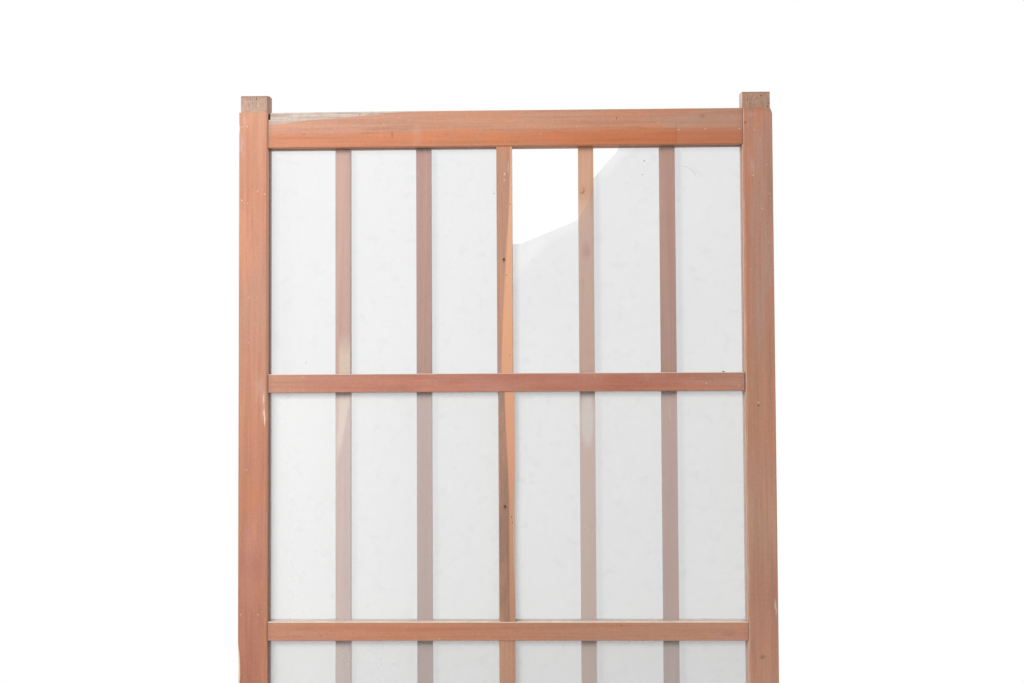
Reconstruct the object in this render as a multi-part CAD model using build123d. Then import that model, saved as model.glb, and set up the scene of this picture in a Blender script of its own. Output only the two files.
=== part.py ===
from build123d import *
import os

os.makedirs("parts", exist_ok=True)

# Sliding lattice door leaf. X runs to the right seen from the glazed face, Y runs away from
# that viewer, and Z runs up from the foot of the rollers. Sizes are in millimetres.

# Leaf outline
leaf_width = 880.0
leaf_thickness = 30.0
left_stile_width = 47.5
right_stile_width = 48.5
stile_bevel = 2.5

# Horns: bare stile tops, rebated on the front, that run in the head groove
horn_height = 30.0
horn_rebate = 10.0
left_horn_bevel = 4.0
right_horn_bevel = 1.5
right_horn_wear = 1.5
right_horn_cut = 1.5
right_shoulder_wear = 11.0
horn_hole_radius = 1.0
horn_hole_depth = 6.0
left_horn_holes = ((15.5, 5.0), (26.5, 5.0))
right_horn_holes = ((16.0, 8.0), (22.5, 10.5), (38.0, 13.5))

# Rails, from the top down, and the four equal bays between them
top_rail_height = 59.5
mid_rail_height = 30.3
bottom_rail_height = 90.0
bay_height = 375.0
mid_rail_names = ("upper_mid_rail", "centre_mid_rail", "lower_mid_rail")
rail_set_back = 1.0
rail_bevel = 0.8
open_shoulder = 1.2

# Joinery
tenon_length = 32.0
tenon_thickness = 10.0
tenon_set_back = 1.0
tenon_shoulder = 6.0
mortise_play = 1.0

# Lattice bars
bar_count = 5
bar_width = 25.0
bar_depth = 14.0
bar_tenon_length = 14.0
bar_tenon_thickness = 8.0
bar_shoulder = 3.0

# Panes in their grooves: deep above and shallow below, so that a pane lifts in
glass_thickness = 2.0
groove_width = 3.0
groove_to_bar = 0.5
side_groove_depth = 6.0
bottom_groove_depth = 5.0
top_groove_depth = 10.0
pane_top_engagement = 4.5
pane_side_play = 1.0
pane_meeting_gap = 6.0

# Cover strips over the pane joints, each nailed to the centre bar
strip_width = 25.5
strip_set_back = 2.0
strip_to_glass = 0.25
strip_shifts = (-0.5, 1.9, 1.4, 0.0)
nail_shift = -1.5
nail_radius = 0.9
nail_length = 21.0
nail_head_radius = 1.7
nail_head_thickness = 0.6
fastener_play = 0.05

# Rollers let into the underside of the bottom rail
roller_inset = 140.0
wheel_radius = 15.0
wheel_width = 8.0
wheel_rim = 1.2
wheel_groove_depth = 2.0
wheel_drop = 4.0
wheel_play = 0.8
axle_radius = 2.0
axle_running_play = 0.05
axle_seat_play = 0.02
case_wall = 1.2
case_length = 56.0
flange_length = 16.0
flange_thickness = 1.6
screw_head_radius = 3.0
screw_radius = 1.5
screw_length = 15.0
screw_slot_width = 0.8
screw_slot_depth = 0.6

# Wear. The wane is a bare slanting edge on the top rail, as (run from its left end, drop)
wane_outline = (
    (-1.0, 19.8), (27.0, 18.8), (68.0, 13.5), (114.0, 10.7), (170.0, 6.3), (225.0, 1.2), (240.0, 0.3),
)
wane_depth = 3.0
wane_overcut = 0.2
rail_end_notch = (3.5, 8.0, 12.0)

# The upper right pane has lost its top left corner, as (run from the centre bar, drop from the rail)
break_foot = ((27.5, 161.0), (39.0, 156.0), (118.0, 124.0))
break_turn = (138.0, 92.0)
break_head = ((147.0, 53.5), (187.0, 8.2))

# Chips on front arrises, as (drop from the shoulder, length, depth)
outer_edge_chips = ((26.0, 16.0, 1.4), (918.0, 90.0, 2.6))
inner_edge_chip = (494.0, 50.0, 2.6)
strip_splinter = (699.0, 210.0, 2.4)

# Planes and levels that the pieces share
front = -leaf_thickness / 2
back = leaf_thickness / 2
left_inner = -leaf_width / 2 + left_stile_width
right_inner = leaf_width / 2 - right_stile_width
rail_front = front + rail_set_back
rail_back = back - rail_set_back
bar_front = rail_back - bar_depth
groove_back = bar_front - groove_to_bar
groove_front = groove_back - groove_width
glass_front = groove_front + (groove_width - glass_thickness) / 2
glass_back = glass_front + glass_thickness
strip_front = rail_front + strip_set_back
strip_back = glass_front - strip_to_glass
tenon_front = bar_front + tenon_set_back
tenon_back = tenon_front + tenon_thickness
bar_tenon_front = bar_front + (bar_depth - bar_tenon_thickness) / 2
bar_tenon_back = bar_tenon_front + bar_tenon_thickness

leaf_foot = wheel_drop
bottom_rail_top = leaf_foot + bottom_rail_height
bay_step = bay_height + mid_rail_height
bay_count = len(mid_rail_names) + 1
bay_floors = [bottom_rail_top + step * bay_step for step in reversed(range(bay_count))]
top_rail_floor = bay_floors[0] + bay_height
shoulder = top_rail_floor + top_rail_height
leaf_top = shoulder + horn_height
horn_front = front + horn_rebate

rail_levels = {"top_rail": (top_rail_floor, shoulder)}
for rail_name, bay_floor in zip(mid_rail_names, bay_floors):
    rail_levels[rail_name] = (bay_floor - mid_rail_height, bay_floor)
rail_levels["bottom_rail"] = (leaf_foot, bottom_rail_top)

light_width = (right_inner - left_inner - bar_count * bar_width) / (bar_count + 1)
bar_centres = [
    left_inner + (number + 1) * light_width + (number + 0.5) * bar_width for number in range(bar_count)
]
centre_bar = bar_centres[bar_count // 2]

case_width = wheel_width + 2 * wheel_play + 2 * case_wall
case_top = 2 * wheel_radius + wheel_play + case_wall
roller_places = {"left": -leaf_width / 2 + roller_inset, "right": leaf_width / 2 - roller_inset}


def block(x_range, y_range, z_range):
    """A box between two values on each axis, given in either order."""
    spans = (x_range, y_range, z_range)
    middle = [(low + high) / 2 for low, high in spans]
    return Pos(*middle) * Box(*(abs(high - low) for low, high in spans))


def bevel_upright(body, x, y, size):
    """Chamfer the upright edge of body that lies nearest to (x, y)."""
    uprights = body.edges().filter_by(Axis.Z)
    edge = uprights.sort_by(lambda item: (item.center().X - x) ** 2 + (item.center().Y - y) ** 2)[0]
    return chamfer(edge, size)


def cylinder_along_y(x, z, radius, y_range):
    """A round bar or hole along Y."""
    length = y_range[1] - y_range[0]
    return Pos(x, y_range[0] + length / 2, z) * Rot(90, 0, 0) * Cylinder(radius, length)


def arris_scoop(x, out_x, y, z, length, depth):
    """A long shallow scoop across the front arris at (x, y), deepest at z; out_x is 1 or -1."""
    radius = (length**2 / 4 + depth**2) / (2 * depth)
    reach = (radius - depth) / 2**0.5
    plane = Plane(origin=(x + out_x * reach, y - reach, z), z_dir=(1, out_x, 0))
    return plane * Cylinder(radius, 4 * depth)


def tenon_levels(rail_name):
    """The bottom and top of a rail's tenons."""
    low, high = rail_levels[rail_name]
    return low + tenon_shoulder, high - tenon_shoulder


def plain_stile(outer_x, inner_x, horn_wear, horn_cut, horn_bevel):
    """A stile with its rebated horn, its glass groove and a mortise for each rail."""
    inward = 1 if inner_x > outer_x else -1
    body = block((outer_x, inner_x), (front, back), (leaf_foot, shoulder))
    body = bevel_upright(body, inner_x, front, stile_bevel)
    horn_levels = (shoulder, leaf_top - horn_cut)
    horn = block((outer_x + inward * horn_wear, inner_x), (horn_front, back), horn_levels)
    body += bevel_upright(horn, inner_x, horn_front, horn_bevel)
    groove_levels = (bottom_rail_top - bottom_groove_depth, top_rail_floor + top_groove_depth)
    body -= block((inner_x, inner_x - inward * side_groove_depth), (groove_front, groove_back), groove_levels)
    mortise_end = inner_x - inward * (tenon_length + mortise_play)
    for rail_name in rail_levels:
        body -= block((inner_x, mortise_end), (tenon_front, tenon_back), tenon_levels(rail_name))
    return body


def horn_holes(outer_x, inward, places):
    """Old nail holes in a horn's front: how far in from the stile's outer side, and down from the top."""
    depth_range = (horn_front, horn_front + horn_hole_depth)
    return [
        cylinder_along_y(outer_x + inward * place, leaf_top - drop, horn_hole_radius, depth_range)
        for place, drop in places
    ]


def left_stile():
    """The left stile, chipped on both front arrises."""
    outer_x = -leaf_width / 2
    body = plain_stile(outer_x, left_inner, 0, 0, left_horn_bevel)
    for drop, length, depth in outer_edge_chips:
        body -= arris_scoop(outer_x, -1, front, shoulder - drop, length, depth)
    drop, length, depth = inner_edge_chip
    body -= arris_scoop(left_inner, 1, front, shoulder - drop, length, depth)
    return body - horn_holes(outer_x, 1, left_horn_holes)


def right_stile():
    """The right stile, with its outer shoulder worn round."""
    outer_x = leaf_width / 2
    body = plain_stile(outer_x, right_inner, right_horn_wear, right_horn_cut, right_horn_bevel)
    low_x = outer_x - right_shoulder_wear
    low_z = shoulder - right_shoulder_wear
    corner = block((low_x, outer_x), (front, horn_front), (low_z, shoulder))
    body -= corner - cylinder_along_y(low_x, low_z, right_shoulder_wear, (front, horn_front))
    return body - horn_holes(outer_x, -1, right_horn_holes)


def plain_rail(rail_name, shoulder_gap=0.0):
    """A rail with its tenons and eased front arrises."""
    low, high = rail_levels[rail_name]
    shoulders = (left_inner + shoulder_gap, right_inner - shoulder_gap)
    body = block(shoulders, (rail_front, rail_back), (low, high))
    body = chamfer(body.faces().sort_by(Axis.Y)[0].edges().filter_by(Axis.X), rail_bevel)
    tenon_ends = (left_inner - tenon_length, right_inner + tenon_length)
    return body + block(tenon_ends, (tenon_front, tenon_back), tenon_levels(rail_name))


def rail_groove(low, high):
    """The glass groove along one edge of a rail."""
    return block((left_inner, right_inner), (groove_front, groove_back), (low, high))


def bar_cuts(inset, y_range, z_range):
    """One cut for each lattice bar, narrower than the bar by inset on either side."""
    reach = bar_width / 2 - inset
    return [block((x - reach, x + reach), y_range, z_range) for x in bar_centres]


def wane():
    """The slanting bare wedge lost from the top rail's front edge."""
    first_drop = wane_outline[0][1]
    sections = []
    for run, drop in wane_outline:
        depth = wane_depth * drop / first_drop
        low = (rail_front - depth * wane_overcut, shoulder - drop * (1 + wane_overcut))
        high = (rail_front + depth * (1 + wane_overcut), shoulder + drop * wane_overcut)
        x = left_inner + run
        sections.append(Wire.make_polygon([(x, *low), (x, *high), (x, low[0], high[1])]))
    return Solid.make_loft(sections, ruled=True)


def top_rail():
    """The top rail, with a waney upper edge and a notch at its left end."""
    low = top_rail_floor
    body = plain_rail("top_rail") - rail_groove(low, low + top_groove_depth)
    mortise_levels = (low, low + bar_tenon_length + mortise_play)
    body -= bar_cuts(bar_shoulder, (bar_tenon_front, bar_tenon_back), mortise_levels)
    notch_width, notch_depth, notch_height = rail_end_notch
    notch = block(
        (left_inner, left_inner + notch_width),
        (rail_front, rail_front + notch_depth),
        (shoulder - notch_height, shoulder),
    )
    return body - wane() - notch


def mid_rail(rail_name):
    """A mid rail, grooved on both edges and notched at the back for the lattice bars."""
    low, high = rail_levels[rail_name]
    body = plain_rail(rail_name, open_shoulder if rail_name == mid_rail_names[0] else 0.0)
    body -= rail_groove(low, low + top_groove_depth)
    body -= rail_groove(high - bottom_groove_depth, high)
    return body - bar_cuts(0, (bar_front, rail_back), (low, high))


def bottom_rail():
    """The bottom rail, mortised for the bars above and for the rollers below."""
    high = bottom_rail_top
    body = plain_rail("bottom_rail") - rail_groove(high - bottom_groove_depth, high)
    mortise_levels = (high - bar_tenon_length - mortise_play, high)
    body -= bar_cuts(bar_shoulder, (bar_tenon_front, bar_tenon_back), mortise_levels)
    for x in roller_places.values():
        body -= case_outline(x)
        body -= [screw(place, fastener_play) for place in screw_places(x)]
    return body


def lattice_bar(x):
    """A full-height bar with a stub tenon at each end."""
    reach = bar_width / 2
    body = block((x - reach, x + reach), (bar_front, rail_back), (bottom_rail_top, top_rail_floor))
    tenon_ends = (bottom_rail_top - bar_tenon_length, top_rail_floor + bar_tenon_length)
    reach -= bar_shoulder
    return body + block((x - reach, x + reach), (bar_tenon_front, bar_tenon_back), tenon_ends)


def pane(bay_floor, side):
    """One frosted pane: from a stile's groove to the joint at the centre bar; side is -1 or 1."""
    stile_x = left_inner if side < 0 else right_inner
    edges = (stile_x + side * (side_groove_depth - pane_side_play), centre_bar + side * pane_meeting_gap / 2)
    levels = (bay_floor - bottom_groove_depth, bay_floor + bay_height + pane_top_engagement)
    return block(edges, (glass_front, glass_back), levels)


def lost_corner():
    """What has broken off the upper right pane."""
    outline_top = top_rail_floor + pane_top_engagement + 1
    foot = [(centre_bar + run, top_rail_floor - drop) for run, drop in break_foot]
    head = [(centre_bar + run, top_rail_floor - drop) for run, drop in break_head]
    turn = (centre_bar + break_turn[0], top_rail_floor - break_turn[1])
    start = [(centre_bar, outline_top), (centre_bar, foot[0][1]), *foot]
    finish = [*head, (head[-1][0] + pane_top_engagement, outline_top), (centre_bar, outline_top)]
    outline = Polyline(start) + ThreePointArc(foot[-1], turn, head[0]) + Polyline(finish)
    plane = Plane.XZ.offset(-glass_back - glass_thickness)
    return extrude(plane * make_face(outline), amount=3 * glass_thickness)


def nail(z, play=0.0):
    """A flat-headed nail through a cover strip into the centre bar, larger all round by play."""
    x = centre_bar + nail_shift
    head_depth = (strip_front, strip_front + nail_head_thickness + play)
    head = cylinder_along_y(x, z, nail_head_radius + play, head_depth)
    return head + cylinder_along_y(x, z, nail_radius + play, (strip_front, strip_front + nail_length + play))


def cover_strip(bay_floor, shift):
    """The strip that covers a pane joint, a little off the bar's centre as it was nailed."""
    x = centre_bar + shift
    edges = (x - strip_width / 2, x + strip_width / 2)
    body = block(edges, (strip_front, strip_back), (bay_floor, bay_floor + bay_height))
    return body - nail(bay_floor + bay_height / 2, fastener_play)


def splinter_scoop(shift):
    """The long sliver lost from the right arris of the second strip."""
    drop, length, depth = strip_splinter
    x = centre_bar + shift + strip_width / 2
    return arris_scoop(x, 1, strip_front, shoulder - drop, length, depth)


def case_outline(x):
    """The full outline of a roller case: its box and the flanges at its ends."""
    across = (-case_width / 2, case_width / 2)
    box = block((x - case_length / 2, x + case_length / 2), across, (leaf_foot, case_top))
    reach = case_length / 2 + flange_length
    return box + block((x - reach, x + reach), across, (leaf_foot, leaf_foot + flange_thickness))


def screw_places(x):
    """Where a roller's two screws go, on its flanges."""
    reach = (case_length + flange_length) / 2
    return x - reach, x + reach


def screw(x, play=0.0):
    """A countersunk wood screw driven up through a flange, larger all round by play."""
    tip = leaf_foot + screw_length
    shank = Pos(x, 0, (leaf_foot + tip + play) / 2) * Cylinder(screw_radius + play, screw_length + play)
    head_middle = Pos(x, 0, leaf_foot + flange_thickness / 2)
    return shank + head_middle * Cone(screw_head_radius + play, screw_radius + play, flange_thickness)


def slotted_screw(x):
    """A screw with its driver slot, as it is fitted."""
    slot_levels = (leaf_foot, leaf_foot + screw_slot_depth)
    half_slot = screw_slot_width / 2
    slot = block((x - half_slot, x + half_slot), (-screw_head_radius, screw_head_radius), slot_levels)
    return screw(x) - slot


def roller_case(x):
    """A thin pressed case, open below, with pinholes in its cheeks and screw holes in its flanges."""
    reach = case_length / 2 - case_wall
    half_inside = case_width / 2 - case_wall
    inside = block((x - reach, x + reach), (-half_inside, half_inside), (leaf_foot, case_top - case_wall))
    body = case_outline(x) - inside
    body -= cylinder_along_y(x, wheel_radius, axle_radius + axle_seat_play, (-case_width, case_width))
    return body - [screw(place, fastener_play) for place in screw_places(x)]


def roller_wheel(x):
    """A wheel with a hollow tread that rides on a round-topped rail."""
    half = wheel_width / 2
    bore = axle_radius + axle_running_play
    tread = half - wheel_rim
    flanks = Polyline(
        (-tread, wheel_radius), (-half, wheel_radius), (-half, bore), (half, bore), (half, wheel_radius)
    )
    crown = Line((half, wheel_radius), (tread, wheel_radius))
    hollow = ThreePointArc((tread, wheel_radius), (0, wheel_radius - wheel_groove_depth), (-tread, wheel_radius))
    plane = Plane(origin=(0, 0, 0), x_dir=(0, 1, 0), z_dir=(1, 0, 0))
    profile = plane * make_face(flanks + crown + hollow)
    return Pos(x, 0, wheel_radius) * revolve(profile, axis=Axis.Y)


nodes = {"left_stile": left_stile(), "right_stile": right_stile(), "top_rail": top_rail()}
for rail_name in mid_rail_names:
    nodes[rail_name] = mid_rail(rail_name)
nodes["bottom_rail"] = bottom_rail()

nail_levels = [bay_floor + bay_height / 2 for bay_floor in bay_floors]
for number, x in enumerate(bar_centres, start=1):
    nodes[f"lattice_bar_{number}"] = lattice_bar(x)
centre_bar_name = f"lattice_bar_{bar_count // 2 + 1}"
nodes[centre_bar_name] -= [nail(z, fastener_play) for z in nail_levels]

for number, (bay_floor, shift) in enumerate(zip(bay_floors, strip_shifts), start=1):
    nodes[f"glass_pane_{number}_left"] = pane(bay_floor, -1)
    nodes[f"glass_pane_{number}_right"] = pane(bay_floor, 1)
    nodes[f"cover_strip_{number}"] = cover_strip(bay_floor, shift)
nodes["glass_pane_1_right"] -= lost_corner()
nodes["cover_strip_2"] -= splinter_scoop(strip_shifts[1])
nodes["cover_strip_nails"] = Compound(children=[nail(z) for z in nail_levels])

for side, x in roller_places.items():
    nodes[f"roller_case_{side}"] = roller_case(x)
    nodes[f"roller_wheel_{side}"] = roller_wheel(x)
    axle_span = (-case_width / 2, case_width / 2)
    nodes[f"roller_axle_{side}"] = cylinder_along_y(x, wheel_radius, axle_radius, axle_span)
nodes["roller_screws"] = Compound(
    children=[slotted_screw(place) for x in roller_places.values() for place in screw_places(x)]
)

for name, shape in nodes.items():
    export_step(shape, f"parts/{name}.step")

print(f"leaf {leaf_width:.1f} wide, {leaf_top:.1f} tall; bars at {[round(x, 2) for x in bar_centres]}")
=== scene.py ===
import bpy
from math import radians
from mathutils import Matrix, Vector


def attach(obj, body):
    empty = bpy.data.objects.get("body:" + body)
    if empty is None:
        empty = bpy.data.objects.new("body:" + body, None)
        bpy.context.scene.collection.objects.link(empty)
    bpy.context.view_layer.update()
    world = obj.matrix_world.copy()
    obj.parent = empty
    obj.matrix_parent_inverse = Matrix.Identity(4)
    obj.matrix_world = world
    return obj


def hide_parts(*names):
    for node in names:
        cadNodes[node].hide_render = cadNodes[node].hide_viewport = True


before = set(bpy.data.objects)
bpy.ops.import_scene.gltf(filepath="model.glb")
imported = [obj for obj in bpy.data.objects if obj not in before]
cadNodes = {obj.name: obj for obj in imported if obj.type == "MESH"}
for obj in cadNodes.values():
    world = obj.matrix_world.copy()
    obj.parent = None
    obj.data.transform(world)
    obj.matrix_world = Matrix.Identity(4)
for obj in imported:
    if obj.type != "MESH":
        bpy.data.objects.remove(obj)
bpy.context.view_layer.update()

leafPlaces = {  # in metres, as the leaf was built, for patterns that follow a place on it
    "shoulder": 1.7444,
    "leafTop": 1.7744,
    "railFloors": (1.3099, 0.9046, 0.4993),
    "bayFloors": (1.3099, 0.9046, 0.4993, 0.0940),
    "bayHeight": 0.3750,
    "barCentres": (-0.2702, -0.1353, -0.0005, 0.1343, 0.2692),
    "barHalf": 0.0125,
    "leftInner": -0.3925,
    "rightInner": 0.3915,
    "nailX": -0.0020,
    "nailLevels": (1.4974, 1.0921, 0.6868, 0.2815),
    "stripFront": -0.0120,
}


class Signal:  # one socket, so that a pattern is written as a sum
    def __init__(self, nodes, socket):
        self.nodes = nodes
        self.socket = socket

    def maths(self, operation, first, second=0.0):
        return self.nodes.node("ShaderNodeMath", {"operation": operation}, {0: first, 1: second})

    def __add__(self, other):
        return self.maths("ADD", self, other)

    def __radd__(self, other):
        return self.maths("ADD", other, self)

    def __sub__(self, other):
        return self.maths("SUBTRACT", self, other)

    def __rsub__(self, other):
        return self.maths("SUBTRACT", other, self)

    def __mul__(self, other):
        return self.maths("MULTIPLY", self, other)

    def __rmul__(self, other):
        return self.maths("MULTIPLY", other, self)

    def __truediv__(self, other):
        return self.maths("DIVIDE", self, other)

    def __rtruediv__(self, other):
        return self.maths("DIVIDE", other, self)

    def __abs__(self):
        return self.maths("ABSOLUTE", self)

    def over(self, other):  # the larger of two masks
        return self.maths("MAXIMUM", self, other)

    def under(self, other):  # the smaller of two masks
        return self.maths("MINIMUM", self, other)


class NodeTree:  # a material's or the world's nodes, all added by one method
    def __init__(self, tree):
        self.tree = tree

    def node(self, kind, settings, sockets, output=0):
        made = self.tree.nodes.new(kind)
        for name, value in settings.items():
            if name == "stops":
                self.setStops(made.color_ramp, value)
            else:
                setattr(made, name, value)
        for key, value in sockets.items():
            self.feed(made.inputs[key], value)
        return Signal(self, made.outputs[output])

    def setStops(self, ramp, stops):
        while len(ramp.elements) < len(stops):
            ramp.elements.new(1.0)
        for element, (position, colour) in zip(ramp.elements, stops):
            element.position = position
            element.color = (*colour, 1.0)

    def feed(self, socket, value):
        if isinstance(value, Signal):
            self.tree.links.new(value.socket, socket)
        elif socket.type == "RGBA" and len(value) == 3:
            socket.default_value = (*value, 1.0)
        else:
            socket.default_value = value

    def rise(self, value, low, high):  # 0 at low, 1 at high, smooth between; high may be the lower number
        settings = {"interpolation_type": "SMOOTHSTEP", "clamp": True}
        return self.node("ShaderNodeMapRange", settings, {0: value, 1: low, 2: high})

    def seenPlainly(self):  # 1 for what the camera, a reflection or the glass sees
        camera, glossy, through = [
            self.node("ShaderNodeLightPath", {}, {}, f"Is {ray} Ray") for ray in ("Camera", "Glossy", "Transmission")
        ]
        return camera.over(glossy).over(through)


class Finish(NodeTree):  # one material, with the few moves that all of them use
    def __init__(self, name, roughness=0.5, metallic=0.0):
        self.material = bpy.data.materials.new(name)
        self.material.use_nodes = True
        super().__init__(self.material.node_tree)
        self.shader = self.tree.nodes["Principled BSDF"]
        self.shader.inputs["Roughness"].default_value = roughness
        self.shader.inputs["Metallic"].default_value = metallic
        self.place = self.node("ShaderNodeTexCoord", {}, {}, "Object")
        self.facing = self.node("ShaderNodeNewGeometry", {}, {}, "Normal")
        self.x, self.y, self.z = [self.axis(self.place, letter) for letter in "XYZ"]
        self.across, self.forward, self.upward = [self.axis(self.facing, letter) for letter in "XYZ"]
        self.ragged = self.shaken(500.0, 0.0016)  # places for small marks, so that none is a clean oval
        self.loose = self.shaken(55.0, 0.012)  # and for wide stains

    def give(self, **sockets):  # feeds the shader's own sockets: Base_Color is Base Color
        for name, value in sockets.items():
            self.feed(self.shader.inputs[name.replace("_", " ")], value)

    def shaken(self, scale, reach):
        shift = self.node("ShaderNodeTexNoise", {}, {"Vector": self.place, "Scale": scale, "Detail": 3.0}, "Color")
        sockets = {0: shift, 1: (reach,) * 3, 2: (-reach / 2,) * 3}
        offset = self.node("ShaderNodeVectorMath", {"operation": "MULTIPLY_ADD"}, sockets)
        return self.node("ShaderNodeVectorMath", {"operation": "ADD"}, {0: self.place, 1: offset})

    def axis(self, vector, letter):
        return self.node("ShaderNodeSeparateXYZ", {}, {0: vector}, letter)

    def stretched(self, factors, shift=(0.0, 0.0, 0.0)):
        return self.node("ShaderNodeMapping", {}, {"Vector": self.place, "Scale": factors, "Location": shift})

    def noise(self, vector, scale, detail=3.0, roughness=0.5, distortion=0.0):
        sockets = {
            "Vector": vector, "Scale": scale, "Detail": detail, "Roughness": roughness, "Distortion": distortion,
        }
        return self.node("ShaderNodeTexNoise", {}, sockets)

    def blend(self, share, below, above, kind="MIX"):
        settings = {"data_type": "RGBA", "blend_type": kind, "clamp_factor": True}
        return self.node("ShaderNodeMix", settings, {0: share, 6: below, 7: above}, 2)

    def ramp(self, value, stops):
        return self.node("ShaderNodeValToRGB", {"stops": stops}, {0: value})

    def spot(self, x, z, wide, tall, edge=0.5, place=None):  # an uneven oval seen from the front
        place = place or self.ragged
        offset = self.node("ShaderNodeVectorMath", {"operation": "SUBTRACT"}, {0: place, 1: (x, 0.0, z)})
        scale = (1 / wide, 0.0, 1 / tall)
        unit = self.node("ShaderNodeVectorMath", {"operation": "MULTIPLY"}, {0: offset, 1: scale})
        reach = self.node("ShaderNodeVectorMath", {"operation": "LENGTH"}, {0: unit}, 1)
        return self.rise(reach, 1.0, 1.0 - edge)

    def spots(self, marks):  # all marks of one kind
        total = self.spot(*marks[0])
        for mark in marks[1:]:
            total = total.over(self.spot(*mark))
        return total

    def bump(self, height, distance, strength=0.5):
        sockets = {"Strength": strength, "Distance": distance, "Height": height}
        self.give(Normal=self.node("ShaderNodeBump", {}, sockets))


def srgb(red, green, blue):  # a colour as a paint program gives it
    shares = [part / 255 for part in (red, green, blue)]
    return tuple(part / 12.92 if part <= 0.04045 else ((part + 0.055) / 1.055) ** 2.4 for part in shares)


woodLook = {
    "grainLength": 0.022,  # how far the grain is drawn out
    "cloudScale": 7.0,
    "cloudShare": 0.75,
    "warmShare": 0.55,
    "lineShare": 0.20,
    "hairShare": 0.22,
    "hair": srgb(150, 110, 92),
    "grime": srgb(168, 140, 126),
    "faint": srgb(222, 178, 156),
    "faintDark": srgb(158, 104, 82),
    # pale of rubbed arrises, both wear and painted highlight
    "rubbedAndHighlit": srgb(218, 190, 168),
    "dust": srgb(206, 190, 176),
    "footDirt": srgb(120, 100, 88),
    "pit": srgb(58, 40, 34),
    "fleck": srgb(226, 214, 200),
    "bareHair": srgb(128, 106, 92),
    "roughness": 0.55,
}


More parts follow.
